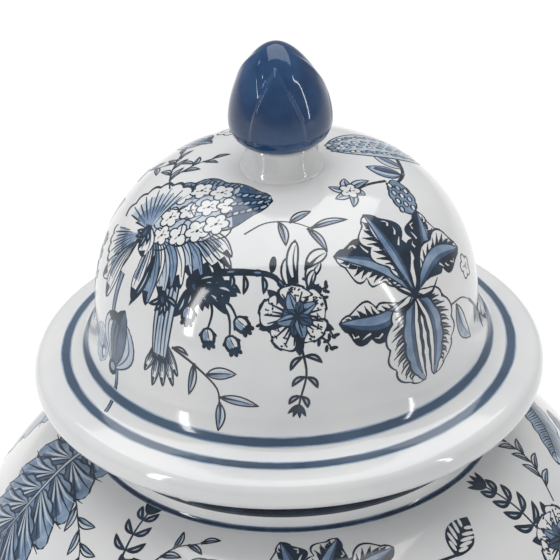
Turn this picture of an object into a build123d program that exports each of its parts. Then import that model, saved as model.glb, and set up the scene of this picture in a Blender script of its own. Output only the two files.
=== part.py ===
"""Ginger jar: a slip-cast porcelain vessel and a lift-off domed lid with a bud finial.

Every piece is turned about +Z. The origin is the centre of the foot ring, on the surface
that the jar stands on. All lengths are in millimetres.

The jar and the lid are two separate pieces. The lid is itself four castings, stuck together
with slip before firing: the dome with its flange, the locating collar that drops into the
neck, the short stem and the hollow bud. A vent runs through crown and stem, because air
shut inside a hollow bud would burst it in the kiln.
"""
from build123d import *
import os

# ---------------------------------------------------------------- driving dimensions
FLANGE_EDGE_Z = 258.6       # height of the lid's widest circle above the foot
FLANGE_RADIUS = 68.0
NECK_RADIUS = 53.8          # outside of the jar's neck
BELLY_RADIUS = 95.2
WAIST_RADIUS = 56.5
FOOT_RADIUS = 60.5
WALL = 5.0                  # cast wall of jar and lid
LID_PLAY = 1.7              # radial play of the locating collar in the neck

# heights, from the tip of the bud down
TIP_Z = FLANGE_EDGE_Z + 97.0
BUD_WIDE_Z = FLANGE_EDGE_Z + 74.8
BUD_BASE_Z = FLANGE_EDGE_Z + 69.3
CROWN_Z = FLANGE_EDGE_Z + 60.8
DOME_FOOT_Z = FLANGE_EDGE_Z + 19.9      # the dome's wall is upright here
FLANGE_TOP_Z = FLANGE_EDGE_Z + 5.6
FLANGE_UNDER_Z = FLANGE_EDGE_Z - 3.8
SEAT_Z = FLANGE_EDGE_Z - 12.2           # the lid's seat ring rests on the lip here
NECK_BASE_Z = FLANGE_EDGE_Z - 17.8
BELLY_Z = FLANGE_EDGE_Z - 86.5
WAIST_Z = 27.0
FOOT_TOP_Z = 6.0

# jar details
MOUTH_RADIUS = NECK_RADIUS - WALL
LIP_ROUND_OUTSIDE = 1.6
LIP_ROUND_INSIDE = 0.8
FOOT_RECESS_RADIUS = 48.0
FOOT_RECESS_Z = 4.0
FLOOR_Z = FOOT_RECESS_Z + WALL
FLOOR_RADIUS = 34.0         # flat part of the floor inside
FOOT_ROUND = 1.2

# lid details
DOME_RADIUS = 50.9
FLANGE_TOP_RADIUS = 59.6
SEAT_RADIUS = 51.4          # outside of the seat ring under the flange
COLLAR_RADIUS = MOUTH_RADIUS - LID_PLAY
COLLAR_WALL = 4.6
COLLAR_DEPTH = 10.0
COLLAR_EASE = 1.4
VENT_RADIUS = 1.8

# finial
STEM_RADIUS = 9.8
STEM_FOOT_RADIUS = 11.2
BUD_RADIUS = 13.7
BUD_WALL = 4.2

# ---------------------------------------------------------------- jar
neck_base = (NECK_RADIUS, NECK_BASE_Z)
belly = (BELLY_RADIUS, BELLY_Z)
waist = (WAIST_RADIUS, WAIST_Z)
foot_top = (FOOT_RADIUS, FOOT_TOP_Z)
inner_neck = (MOUTH_RADIUS, NECK_BASE_Z - 2.0)
inner_shoulder = (NECK_RADIUS + 1.5, NECK_BASE_Z - WALL)
inner_belly = (BELLY_RADIUS - WALL, BELLY_Z)
inner_waist = (WAIST_RADIUS - WALL, WAIST_Z + 2.0)

with BuildPart() as jar_body:
    with BuildSketch(Plane.XZ):
        with BuildLine():
            # outside: upright neck, rounded shoulder, belly, waist, flared foot
            Line((NECK_RADIUS, SEAT_Z), neck_base)
            Bezier(neck_base, (NECK_RADIUS + 15.0, NECK_BASE_Z - 3.3), (BELLY_RADIUS, BELLY_Z + 37.7), belly)
            Bezier(belly, (BELLY_RADIUS, BELLY_Z - 58.0), (WAIST_RADIUS, WAIST_Z + 44.0), waist)
            Bezier(waist, (WAIST_RADIUS, WAIST_Z - 9.0), (FOOT_RADIUS, FOOT_TOP_Z + 7.0), foot_top)
            Polyline(
                foot_top,
                (FOOT_RADIUS, 0),
                (FOOT_RECESS_RADIUS, 0),
                (FOOT_RECESS_RADIUS, FOOT_RECESS_Z),
                (0, FOOT_RECESS_Z),
                (0, FLOOR_Z),
                (FLOOR_RADIUS, FLOOR_Z),
            )
            # inside: floor, hollow, throat, mouth
            Bezier((FLOOR_RADIUS, FLOOR_Z), (46.0, FLOOR_Z), (inner_waist[0], FLOOR_Z + 8.0), inner_waist)
            Bezier(
                inner_waist,
                (inner_waist[0], WAIST_Z + 44.0),
                (inner_belly[0], BELLY_Z - 56.0),
                inner_belly,
            )
            Bezier(
                inner_belly,
                (inner_belly[0], BELLY_Z + 35.0),
                (NECK_RADIUS + 13.5, NECK_BASE_Z - WALL - 2.6),
                inner_shoulder,
            )
            Bezier(
                inner_shoulder,
                (NECK_RADIUS - 3.0, NECK_BASE_Z - WALL + 0.9),
                (MOUTH_RADIUS, NECK_BASE_Z - 4.5),
                inner_neck,
            )
            Line(inner_neck, (MOUTH_RADIUS, SEAT_Z))
            Line((MOUTH_RADIUS, SEAT_Z), (NECK_RADIUS, SEAT_Z))
        make_face()
    revolve(axis=Axis.Z)
    rims = jar_body.edges().filter_by(GeomType.CIRCLE).group_by(Axis.Z)
    lip_edges = rims[-1].sort_by(SortBy.RADIUS)
    fillet(lip_edges[0], LIP_ROUND_INSIDE)
    fillet(rims[0], FOOT_ROUND)
    lip_edges = jar_body.edges().filter_by(GeomType.CIRCLE).group_by(Axis.Z)[-1].sort_by(SortBy.RADIUS)
    fillet(lip_edges[-1], LIP_ROUND_OUTSIDE)

# ---------------------------------------------------------------- lid: dome and flange
crown = (STEM_FOOT_RADIUS, CROWN_Z)
dome_foot = (DOME_RADIUS, DOME_FOOT_Z)
flange_top = (FLANGE_TOP_RADIUS, FLANGE_TOP_Z)
rim_top = (FLANGE_RADIUS - 3.4, FLANGE_EDGE_Z + 4.5)
rim_edge = (FLANGE_RADIUS, FLANGE_EDGE_Z)
rim_under = (FLANGE_RADIUS - 3.6, FLANGE_UNDER_Z)
hollow_under = (SEAT_RADIUS + 3.6, FLANGE_UNDER_Z - 1.0)
ring_top = (SEAT_RADIUS, FLANGE_UNDER_Z - 4.4)
seat_inner = (COLLAR_RADIUS - COLLAR_WALL, SEAT_Z)
inner_foot = (DOME_RADIUS - WALL, DOME_FOOT_Z)
inner_crown = (VENT_RADIUS, CROWN_Z - WALL)

with BuildPart() as lid_dome:
    with BuildSketch(Plane.XZ):
        with BuildLine():
            # outside: flat crown under the stem, dome, hollow sweep out to the flange
            Line((VENT_RADIUS, CROWN_Z), crown)
            Bezier(crown, (33.3, CROWN_Z), (DOME_RADIUS, DOME_FOOT_Z + 26.9), dome_foot)
            Bezier(dome_foot, (DOME_RADIUS, DOME_FOOT_Z - 8.8), (54.9, FLANGE_TOP_Z + 0.8), flange_top)
            Line(flange_top, rim_top)
            # rounded rim, underside, hollow run down to the seat ring, then the flat seat
            Bezier(rim_top, (66.6, FLANGE_EDGE_Z + 4.1), (FLANGE_RADIUS, FLANGE_EDGE_Z + 2.6), rim_edge)
            Bezier(rim_edge, (FLANGE_RADIUS, FLANGE_EDGE_Z - 2.2), (66.6, FLANGE_UNDER_Z), rim_under)
            Line(rim_under, hollow_under)
            Bezier(
                hollow_under,
                (SEAT_RADIUS + 1.4, FLANGE_UNDER_Z - 1.2),
                (SEAT_RADIUS, FLANGE_UNDER_Z - 2.4),
                ring_top,
            )
            Polyline(ring_top, (SEAT_RADIUS, SEAT_Z), seat_inner)
            # inside of the dome up to the vent
            Bezier(
                seat_inner,
                (seat_inner[0], SEAT_Z + 13.0),
                (inner_foot[0], DOME_FOOT_Z - 11.0),
                inner_foot,
            )
            Bezier(inner_foot, (inner_foot[0], DOME_FOOT_Z + 23.5), (29.0, CROWN_Z - WALL), inner_crown)
            Line(inner_crown, (VENT_RADIUS, CROWN_Z))
        make_face()
    revolve(axis=Axis.Z)

# ---------------------------------------------------------------- lid: locating collar
with BuildPart() as lid_collar:
    with BuildSketch(Plane.XY.offset(SEAT_Z - COLLAR_DEPTH)):
        Circle(COLLAR_RADIUS)
        Circle(COLLAR_RADIUS - COLLAR_WALL, mode=Mode.SUBTRACT)
    extrude(amount=COLLAR_DEPTH)
    chamfer(lid_collar.edges().group_by(Axis.Z)[0], COLLAR_EASE)

# ---------------------------------------------------------------- lid: stem of the finial
stem_top = (STEM_RADIUS, BUD_BASE_Z)

with BuildPart() as finial_stem:
    with BuildSketch(Plane.XZ):
        with BuildLine():
            # waisted outside, with the vent as its straight inner edge
            Bezier(crown, (STEM_RADIUS - 0.2, CROWN_Z + 0.5), (STEM_RADIUS - 0.3, CROWN_Z + 2.6), stem_top)
            Polyline(stem_top, (VENT_RADIUS, BUD_BASE_Z), (VENT_RADIUS, CROWN_Z), crown)
        make_face()
    revolve(axis=Axis.Z)

# ---------------------------------------------------------------- lid: hollow bud
bud_wide = (BUD_RADIUS, BUD_WIDE_Z)
bud_tip = (0, TIP_Z)
hollow_tip = (0, TIP_Z - 1.7 * BUD_WALL)
hollow_wide = (BUD_RADIUS - BUD_WALL, BUD_WIDE_Z + 0.5)
vent_top = (VENT_RADIUS, BUD_BASE_Z + 0.8 * BUD_WALL)

with BuildPart() as finial_bud:
    with BuildSketch(Plane.XZ):
        with BuildLine():
            # outside: quick swell above the stem, then the taper to the blunt tip
            Line((VENT_RADIUS, BUD_BASE_Z), stem_top)
            Bezier(stem_top, (12.6, BUD_BASE_Z + 0.5), (BUD_RADIUS, BUD_WIDE_Z - 2.8), bud_wide)
            Bezier(bud_wide, (BUD_RADIUS, BUD_WIDE_Z + 8.0), (7.0, TIP_Z - 0.4), bud_tip)
            Line(bud_tip, hollow_tip)
            # inside: the same swell, down to the vent
            Bezier(hollow_tip, (3.6, hollow_tip[1] - 1.6), (hollow_wide[0], BUD_WIDE_Z + 6.0), hollow_wide)
            Bezier(hollow_wide, (hollow_wide[0], BUD_WIDE_Z - 1.8), (5.0, vent_top[1]), vent_top)
            Line(vent_top, (VENT_RADIUS, BUD_BASE_Z))
        make_face()
    revolve(axis=Axis.Z)

# ---------------------------------------------------------------- labels and files
jar_body.part.label = "jar_body"
lid_dome.part.label = "lid_dome"
lid_collar.part.label = "lid_collar"
finial_stem.part.label = "finial_stem"
finial_bud.part.label = "finial_bud"

os.makedirs("parts", exist_ok=True)
export_step(jar_body.part, "parts/jar_body.step")
export_step(lid_dome.part, "parts/lid_dome.step")
export_step(lid_collar.part, "parts/lid_collar.step")
export_step(finial_stem.part, "parts/finial_stem.step")
export_step(finial_bud.part, "parts/finial_bud.step")
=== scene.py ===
from math import atan2, cos, degrees, hypot, pi, radians, sin, sqrt
import bmesh
import bpy
import numpy as np
from mathutils import Matrix, Vector
from mathutils.geometry import delaunay_2d_cdt


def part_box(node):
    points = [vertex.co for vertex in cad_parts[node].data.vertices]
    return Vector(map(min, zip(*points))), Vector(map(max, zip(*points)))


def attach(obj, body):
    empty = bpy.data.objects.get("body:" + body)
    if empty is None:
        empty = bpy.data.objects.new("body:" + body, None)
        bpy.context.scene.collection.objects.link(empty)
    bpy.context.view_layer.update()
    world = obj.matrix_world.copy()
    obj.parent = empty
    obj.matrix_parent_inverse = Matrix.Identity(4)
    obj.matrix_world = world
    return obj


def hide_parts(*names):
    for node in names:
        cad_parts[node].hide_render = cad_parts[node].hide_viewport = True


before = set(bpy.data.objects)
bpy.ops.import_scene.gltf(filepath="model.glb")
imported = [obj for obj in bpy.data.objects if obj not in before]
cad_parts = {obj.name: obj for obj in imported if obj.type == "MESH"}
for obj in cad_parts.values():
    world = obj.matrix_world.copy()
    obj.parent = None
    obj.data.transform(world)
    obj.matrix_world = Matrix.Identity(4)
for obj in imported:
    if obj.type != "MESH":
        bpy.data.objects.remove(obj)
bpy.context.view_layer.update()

MM = 0.001

# ------------------------------------------------------------------ sizes, in millimetres
# Heights and radii come from the frame where a node's box gives them. The rest repeats the
# driving dimensions of the CAD model.


def node_box(node):
    """A node's lowest and highest corner in millimetres."""
    return [[float(value) / MM for value in corner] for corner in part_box(node)]


DOME_LOW, DOME_HIGH = node_box("lid_dome")
BUD_LOW, BUD_HIGH = node_box("finial_bud")
COLLAR_LOW_Z = node_box("lid_collar")[0][2]
STEM_TOP_Z = node_box("finial_stem")[1][2]

FLANGE_R = DOME_HIGH[0]
SEAT_Z = DOME_LOW[2]
EDGE_Z = SEAT_Z + 12.2
UNDER_Z = EDGE_Z - 3.8
CROWN_Z = DOME_HIGH[2]
DOME_FOOT_Z = EDGE_Z + 19.9
FLANGE_TOP_Z = EDGE_Z + 5.6
RIM_TOP = (FLANGE_R - 3.4, EDGE_Z + 4.5)
SEAT_R = 51.4
DOME_R = 50.9
FLANGE_TOP_R = 59.6
NECK_R = 53.8
NECK_BASE_Z = EDGE_Z - 17.8
BELLY_R = 95.2
BELLY_Z = EDGE_Z - 86.5
WAIST_R = 56.5
WAIST_Z = 27.0
FOOT_R = 60.5
FOOT_TOP_Z = 6.0
RECESS_R = 48.0
RECESS_Z = 4.0
FLOOR_Z = 9.0                # the jar's floor inside, flat out to FLOOR_R
FLOOR_R = 34.0
WALL = 5.0
MOUTH_R = NECK_R - WALL
LIP_ROUND = 1.6
# How far down the neck's outside, from the lip, the dark painted shade under the lid's flange reaches, in mm.
PAINTED_SHADE_DEPTH = 2.0
COLLAR_R = MOUTH_R - 1.7
COLLAR_INNER_R = COLLAR_R - 4.6
STEM_R = 9.8
STEM_FOOT_R = 11.2
VENT_R = 1.8


# ------------------------------------------------------------------ curves
def bezier(a, b, c, d, count):
    """Points of a cubic curve. Works on (radius, height) pairs and on complex numbers."""
    t = np.linspace(0.0, 1.0, count)
    a, b, c, d = (np.asarray(p) for p in (a, b, c, d))
    if a.ndim:
        t = t[:, None]
    return (1 - t) ** 3 * a + 3 * (1 - t) ** 2 * t * b + 3 * (1 - t) * t ** 2 * c + t ** 3 * d


def chain(*runs):
    """Joins runs of (radius, height) points, dropping points that repeat."""
    points = [np.asarray(runs[0][0], float)]
    for run in runs:
        for point in np.asarray(run, float).reshape(-1, 2):
            if hypot(*(point - points[-1])) > 1e-4:
                points.append(point)
    return np.array(points)


def corner(before, at, after, radius):
    """A small rounding at a corner of an outline."""
    at = np.asarray(at, float)
    into = (np.asarray(before, float) - at) / hypot(*(np.asarray(before, float) - at))
    out = (np.asarray(after, float) - at) / hypot(*(np.asarray(after, float) - at))
    start, end = at + radius * into, at + radius * out
    return bezier(start, start - 0.55 * radius * into, end - 0.55 * radius * out, end, 5)


# the painted stretches of the two outlines, listed upwards
lid_face = chain(
    [RIM_TOP],
    bezier(
        (FLANGE_TOP_R, FLANGE_TOP_Z),
        (54.9, FLANGE_TOP_Z + 0.8),
        (DOME_R, DOME_FOOT_Z - 8.8),
        (DOME_R, DOME_FOOT_Z),
        20,
    ),
    bezier((DOME_R, DOME_FOOT_Z), (DOME_R, DOME_FOOT_Z + 26.9), (33.3, CROWN_Z), (STEM_FOOT_R, CROWN_Z), 44),
)
jar_foot = bezier(
    (FOOT_R, FOOT_TOP_Z),
    (FOOT_R, FOOT_TOP_Z + 7),
    (WAIST_R, WAIST_Z - 9),
    (WAIST_R, WAIST_Z),
    16,
)
jar_shoulder = bezier(
    (BELLY_R, BELLY_Z),
    (BELLY_R, BELLY_Z + 37.7),
    (NECK_R + 15, NECK_BASE_Z - 3.3),
    (NECK_R, NECK_BASE_Z),
    50,
)
jar_face = chain(
    jar_foot,
    bezier((WAIST_R, WAIST_Z), (WAIST_R, WAIST_Z + 44), (BELLY_R, BELLY_Z - 58), (BELLY_R, BELLY_Z), 64),
    jar_shoulder[:-2],
    corner(jar_shoulder[-3], (NECK_R, NECK_BASE_Z), (NECK_R, SEAT_Z), 1.0),
    # outline point where the painted shade under the flange starts on the neck
    [(NECK_R, SEAT_Z - PAINTED_SHADE_DEPTH)],
    corner((NECK_R, NECK_BASE_Z), (NECK_R, SEAT_Z), (MOUTH_R, SEAT_Z), LIP_ROUND),
)


# ------------------------------------------------------------------ materials
def srgb(code):
    """Linear RGBA of a six-digit colour code."""
    parts = [int(code[i:i + 2], 16) / 255 for i in (0, 2, 4)]
    return [p / 12.92 if p <= 0.04045 else ((p + 0.055) / 1.055) ** 2.4 for p in parts] + [1.0]


class Material:
    """A material's node tree, with short ways to add nodes."""

    def __init__(self, name):
        self.material = bpy.data.materials.new(name)
        self.material.use_nodes = True
        self.nodes = self.material.node_tree.nodes
        self.shader = self.nodes["Principled BSDF"]
        self.place = self.node("ShaderNodeTexCoord").outputs["Object"]

    def node(self, kind, **values):
        node = self.nodes.new(kind)
        for key, value in values.items():
            if hasattr(node, key):
                setattr(node, key, value)
            else:
                node.inputs[key.replace("_", " ")].default_value = value
        return node

    def link(self, output, target):
        self.material.node_tree.links.new(output, target)

    def set(self, **values):
        for key, value in values.items():
            self.shader.inputs[key.replace("_", " ")].default_value = value

    def noise(self, scale, detail=3.0):
        node = self.node("ShaderNodeTexNoise", Scale=scale, Detail=detail, Roughness=0.55)
        self.link(self.place, node.inputs["Vector"])
        return node.outputs["Fac"]

    def ramp(self, source, *stops):
        """A colour ramp whose stops are (position, colour)."""
        node = self.node("ShaderNodeValToRGB")
        while len(node.color_ramp.elements) < len(stops):
            node.color_ramp.elements.new(0.5)
        for element, (position, colour) in zip(node.color_ramp.elements, stops):
            element.position = position
            element.color = colour
        self.link(source, node.inputs["Fac"])
        return node.outputs["Color"]

    def colour(self, source, *stops):
        self.link(self.ramp(source, *stops), self.shader.inputs["Base Color"])

    def roughness(self, scale, low, high):
        """Roughness that drifts between low and high in clouds of a noise scale."""
        stops = [(position, (value, value, value, 1)) for position, value in ((0.3, low), (0.7, high))]
        self.link(self.ramp(self.noise(scale), *stops), self.shader.inputs["Roughness"])

    def bump(self, source, strength, depth):
        node = self.node("ShaderNodeBump", Strength=strength, Distance=depth)
        self.link(source, node.inputs["Height"])
        self.link(node.outputs["Normal"], self.shader.inputs["Normal"])


def glaze(name, codes, gloss=(0.07, 0.13), ripple=0.25, cloud=38.0, coat=0.35):
    """Clear glossy glaze over a colour that drifts between colour codes. It lies a little
    uneven, as glaze does where it ran and settled, and its gloss varies in faint clouds."""
    made = Material(name)
    tones = [srgb(code) for code in codes.split()]
    stops = [(0.3 + 0.4 * i / (len(tones) - 1), tone) for i, tone in enumerate(tones)]
    made.colour(made.noise(cloud), *stops)
    made.roughness(60.0, *gloss)
    made.bump(made.noise(95.0, 1.0), ripple, 0.0004)
    made.set(IOR=1.5, Coat_Weight=coat, Coat_Roughness=0.03)
    return made.material


PORCELAIN = glaze("porcelain_glaze", "cccecf d2d3d4 d6d6d5")
COBALT = glaze("cobalt_glaze", "0b2a4e 12375f 1e4770", (0.04, 0.1), 0.5, 90.0, 0.2)
# Blue-black ink of the drawing; the same material is also painted shade on the jar's lip and on the lid's
# seat ring, under the flange.
INK_AND_SHADE = glaze("painted_ink_and_shade", "0c1824 182838 25384c", cloud=160.0, coat=0.1)
DEEP = glaze("painted_deep_blue", "20354f 324b67 48617d", cloud=160.0)
BAND = glaze("painted_band_blue", "33455a 43586e")
MID = glaze("painted_mid_blue", "4c6582 6d839e 8fa0b4", cloud=160.0)
PALE = glaze("painted_pale_blue", "9aa9ba b7c1cb", cloud=160.0)


def biscuit():
    """Bare fired porcelain: matt, fine-grained and slightly warm."""
    made = Material("biscuit")
    made.colour(made.noise(220.0, 6.0), (0.35, srgb("c8bfae")), (0.65, srgb("dad3c6")))
    made.roughness(500.0, 0.62, 0.85)
    made.bump(made.noise(1400.0, 4.0), 0.4, 0.0003)
    return made.material


BISCUIT = biscuit()

# ------------------------------------------------------------------ turned pieces
BODY_SEGMENTS = 384
COLLAR_SEGMENTS = 256
STEM_SEGMENTS = 160
BUD_SEGMENTS = 320


def add_object(name, data):
    made = bpy.data.objects.new(name, data)
    bpy.context.scene.collection.objects.link(made)
    return made


def finished_mesh(made, name):
    mesh = bpy.data.meshes.new(name)
    made.to_mesh(mesh)
    made.free()
    return mesh


def finish_piece(mesh, name, body, nodes, materials):
    """Puts a mesh in the scene, on its body and in place of its CAD nodes."""
    for material in materials:
        mesh.materials.append(material)
    piece = add_object(name, mesh)
    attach(piece, body)
    if nodes:
        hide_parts(*nodes)


def sharpen(made, angle=0.6):
    """Smooth shading, except across edges that turn more than angle."""
    for face in made.faces:
        face.smooth = True
    for edge in made.edges:
        edge.smooth = len(edge.link_faces) != 2 or edge.calc_face_angle() < angle


def turned_mesh(name, outline, segments, surface=lambda r, z: 0):
    """A closed mesh turned about Z from an outline of (radius, height) points that runs down
    the outside and up the inside. surface gives the material number for a face's middle."""
    made = bmesh.new()
    angles = np.linspace(0, 2 * pi, segments, endpoint=False)
    rings = []
    for r, z in outline:
        if r < 1e-6:
            rings.append([made.verts.new((0, 0, z * MM))] * segments)
        else:
            rings.append([made.verts.new((r * sin(a) * MM, -r * cos(a) * MM, z * MM)) for a in angles])
    closed = outline[0][0] > 1e-6
    for i in range(len(rings) - (0 if closed else 1)):
        upper, lower = rings[i], rings[(i + 1) % len(rings)]
        r, z = (np.asarray(outline[i]) + np.asarray(outline[(i + 1) % len(rings)])) / 2
        for k in range(segments):
            m = (k + 1) % segments
            loop = list(dict.fromkeys([upper[k], lower[k], lower[m], upper[m]]))
            face = made.faces.new(loop)
            face.material_index = surface(r, z)
    sharpen(made)
    return finished_mesh(made, name)


def build_jar():
    lip, mouth = (NECK_R, SEAT_Z), (MOUTH_R, SEAT_Z)
    heel, inner_heel = (FOOT_R, 0.0), (RECESS_R, 0.0)
    inner_waist = (WAIST_R - WALL, WAIST_Z + 2)
    inner_belly = (BELLY_R - WALL, BELLY_Z)
    inner_shoulder = (NECK_R + 1.5, NECK_BASE_Z - WALL)
    inner_neck = (MOUTH_R, NECK_BASE_Z - 2)
    outline = chain(
        jar_face[::-1],
        corner((FOOT_R, FOOT_TOP_Z), heel, inner_heel, 1.2),
        corner(heel, inner_heel, (RECESS_R, RECESS_Z), 1.2),
        corner(inner_heel, (RECESS_R, RECESS_Z), (0, RECESS_Z), 1.0),
        [(0, RECESS_Z), (0, FLOOR_Z), (FLOOR_R, FLOOR_Z)],
        bezier((FLOOR_R, FLOOR_Z), (46, FLOOR_Z), (inner_waist[0], FLOOR_Z + 8), inner_waist, 8),
        bezier(inner_waist, (inner_waist[0], WAIST_Z + 44), (inner_belly[0], BELLY_Z - 56), inner_belly, 24),
        bezier(
            inner_belly,
            (inner_belly[0], BELLY_Z + 35),
            (NECK_R + 13.5, NECK_BASE_Z - WALL - 2.6),
            inner_shoulder,
            20,
        ),
        bezier(
            inner_shoulder,
            (NECK_R - 3, NECK_BASE_Z - WALL + 0.9),
            (MOUTH_R, NECK_BASE_Z - 4.5),
            inner_neck,
            8,
        ),
        corner(inner_neck, mouth, lip, 0.8),
    )

    def surface(r, z):
        on_foot = z < 1.0 and r > RECESS_R - 1
        on_lip = z > SEAT_Z - 0.7 and r < NECK_R - LIP_ROUND
        # The lip's outer rounding and the top of the neck take the dark ink material: painted shade for the
        # shadow in the gap under the lid's flange.
        painted_shade = z > SEAT_Z - PAINTED_SHADE_DEPTH and r > NECK_R - LIP_ROUND
        return 1 if on_foot or on_lip else 2 if painted_shade else 0

    # the outline closes on the axis, not on itself
    axis = int(np.argmin(outline[:, 0]))
    outline = np.roll(outline, -axis - 1, axis=0)
    mesh = turned_mesh("jar_glaze", outline, BODY_SEGMENTS, surface)
    finish_piece(mesh, "jar_glaze", "jar", ["jar_body"], [PORCELAIN, BISCUIT, INK_AND_SHADE])


def build_lid():
    crown = (STEM_FOOT_R, CROWN_Z)
    rim_edge = (FLANGE_R, EDGE_Z)
    rim_under = (FLANGE_R - 3.6, UNDER_Z)
    hollow_under = (SEAT_R + 3.6, UNDER_Z - 1.0)
    ring_top = (SEAT_R, UNDER_Z - 4.4)
    seat_inner = (COLLAR_INNER_R, SEAT_Z)
    inner_foot = (DOME_R - WALL, DOME_FOOT_Z)
    inner_crown = (VENT_R, CROWN_Z - WALL)
    outline = chain(
        [(VENT_R, CROWN_Z), (6.0, CROWN_Z), crown],
        lid_face[::-1][1:],
        bezier(RIM_TOP, (66.6, EDGE_Z + 4.1), (FLANGE_R, EDGE_Z + 2.6), rim_edge, 10),
        bezier(rim_edge, (FLANGE_R, EDGE_Z - 2.2), (66.6, UNDER_Z), rim_under, 10),
        bezier(hollow_under, (SEAT_R + 1.4, UNDER_Z - 1.2), (SEAT_R, UNDER_Z - 2.4), ring_top, 10),
        [(SEAT_R, SEAT_Z)],
        bezier(seat_inner, (seat_inner[0], SEAT_Z + 13), (inner_foot[0], DOME_FOOT_Z - 11), inner_foot, 12),
        bezier(inner_foot, (inner_foot[0], DOME_FOOT_Z + 23.5), (29, CROWN_Z - WALL), inner_crown, 24),
    )

    def surface(r, z):
        if z < SEAT_Z + 0.1 and r > COLLAR_INNER_R:
            return 1
        # The seat ring's outer wall under the flange takes the dark ink material: painted shade for the
        # shadow in the gap between the flange and the jar's neck.
        return 2 if z < UNDER_Z - 1.5 and r > COLLAR_R else 0

    mesh = turned_mesh("lid_glaze", outline, BODY_SEGMENTS, surface)
    finish_piece(mesh, "lid_glaze", "lid", ["lid_dome"], [PORCELAIN, BISCUIT, INK_AND_SHADE])


def build_collar():
    low, inner, outer = COLLAR_LOW_Z, COLLAR_INNER_R, COLLAR_R
    outline = chain(
        [(inner, SEAT_Z), (outer, SEAT_Z)],
        corner((outer, SEAT_Z), (outer, low), (inner, low), 1.4),
        corner((outer, low), (inner, low), (inner, SEAT_Z), 1.4),
    )
    mesh = turned_mesh("lid_collar_ring", outline, COLLAR_SEGMENTS)
    finish_piece(mesh, "lid_collar_ring", "lid", ["lid_collar"], [BISCUIT])


def build_stem():
    """The waisted stem, which flares softly into the crown."""
    waist, foot = (STEM_R + 0.2, CROWN_Z + 1.3), (STEM_FOOT_R, CROWN_Z)
    outline = chain(
        [(VENT_R, STEM_TOP_Z), (STEM_R, STEM_TOP_Z)],
        bezier((STEM_R, STEM_TOP_Z), (STEM_R - 0.3, CROWN_Z + 4), (STEM_R - 0.2, CROWN_Z + 2.0), waist, 10),
        bezier(waist, (STEM_R + 0.3, CROWN_Z + 0.5), (STEM_FOOT_R - 0.6, CROWN_Z + 0.05), foot, 8),
        [(VENT_R, CROWN_Z)],
    )
    mesh = turned_mesh("finial_stem_glaze", outline, STEM_SEGMENTS)
    finish_piece(mesh, "finial_stem_glaze", "lid", ["finial_stem"], [PORCELAIN])


# ------------------------------------------------------------------ the bud finial
def smoothstep(x):
    x = np.clip(x, 0.0, 1.0)
    return x * x * (3 - 2 * x)


def petal_relief(angle, height, radius, centre, spread, top, lift, edge):
    """Relief in mm of one petal: a low cushion with a rounded lip where it ends in an arch.
    centre is its middle and spread its half angle near the base, in degrees. top is the share
    of the height that it reaches."""
    centre, spread = radians(centre), radians(spread)
    half = np.zeros_like(angle)
    under = height < top
    half[under] = spread * (1 - (height[under] / top) ** 2.6) ** 0.6
    away = np.abs((angle - centre + pi) % (2 * pi) - pi)
    to_edge = (half - away) * radius
    lip = np.exp(-((to_edge - edge) / edge) ** 2)
    free = smoothstep(height / (0.8 * top))
    return smoothstep(to_edge / edge) * lift * (0.6 + 0.4 * lip) * free


def build_bud():
    """Lotus bud: three tall petals round the core, and three lower ones before the gaps
    between them. The front one of these stands highest and proudest."""
    base, tip = BUD_LOW[2], BUD_HIGH[2]
    wide_r, wide_z = BUD_HIGH[0], base + 5.5
    side = chain(
        bezier((STEM_R, base), (12.0, base + 0.5), (wide_r, wide_z - 2.8), (wide_r, wide_z), 26),
        bezier((wide_r, wide_z), (wide_r, wide_z + 8.0), (7.0, tip - 0.4), (0.05, tip), 90),
    )
    turn = np.linspace(0, 2 * pi, BUD_SEGMENTS, endpoint=False)
    angle, r = np.meshgrid(turn, side[:, 0])
    z = np.meshgrid(turn, side[:, 1])[1]
    height = (z - base) / (tip - base)
    fade = smoothstep(height / 0.2) * smoothstep((1 - height) / 0.16)
    relief = np.zeros_like(r)
    petals = [(centre, 58, 1.02, 0.5, 1.4) for centre in (52, 172, 292)]
    petals += [(-4, 36, 0.86, 1.35, 1.5), (108, 36, 0.56, 0.3, 1.5), (226, 36, 0.6, 0.4, 1.5)]
    for petal in petals:
        relief = np.maximum(relief, petal_relief(angle, height, r, *petal))
    r = r + fade * (relief - 0.05)
    made = bmesh.new()
    lean = -0.6 * smoothstep((z - wide_z) / (tip - wide_z)) ** 1.5
    rings = [
        [
            made.verts.new(((r[i, k] * sin(a) + lean[i, k]) * MM, -r[i, k] * cos(a) * MM, z[i, k] * MM))
            for k, a in enumerate(turn)
        ]
        for i in range(len(side))
    ]
    tip_vertex = made.verts.new((lean[-1, 0] * MM, 0, tip * MM))
    base_vertex = made.verts.new((0, 0, base * MM))
    for k in range(BUD_SEGMENTS):
        m = (k + 1) % BUD_SEGMENTS
        for low, high in zip(rings, rings[1:]):
            made.faces.new((low[k], low[m], high[m], high[k]))
        made.faces.new((rings[-1][k], rings[-1][m], tip_vertex))
        made.faces.new((rings[0][m], rings[0][k], base_vertex))
    sharpen(made, angle=1.2)
    mesh = finished_mesh(made, "finial_bud_glaze")
    finish_piece(mesh, "finial_bud_glaze", "lid", ["finial_bud"], [COBALT])


build_jar()
build_lid()
build_collar()
build_stem()
build_bud()

# ------------------------------------------------------------------ painting: brush and leaf shapes
# A drawing is a list of (tone, outline): flat shapes in painting order, as closed rows of
# complex numbers in millimetres. A motif starts at 0 and grows along +x.
LINE = 0.5                  # width of an ordinary drawn line
GRAIN = 1.5                 # longest straight piece of a drawn curve


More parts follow.
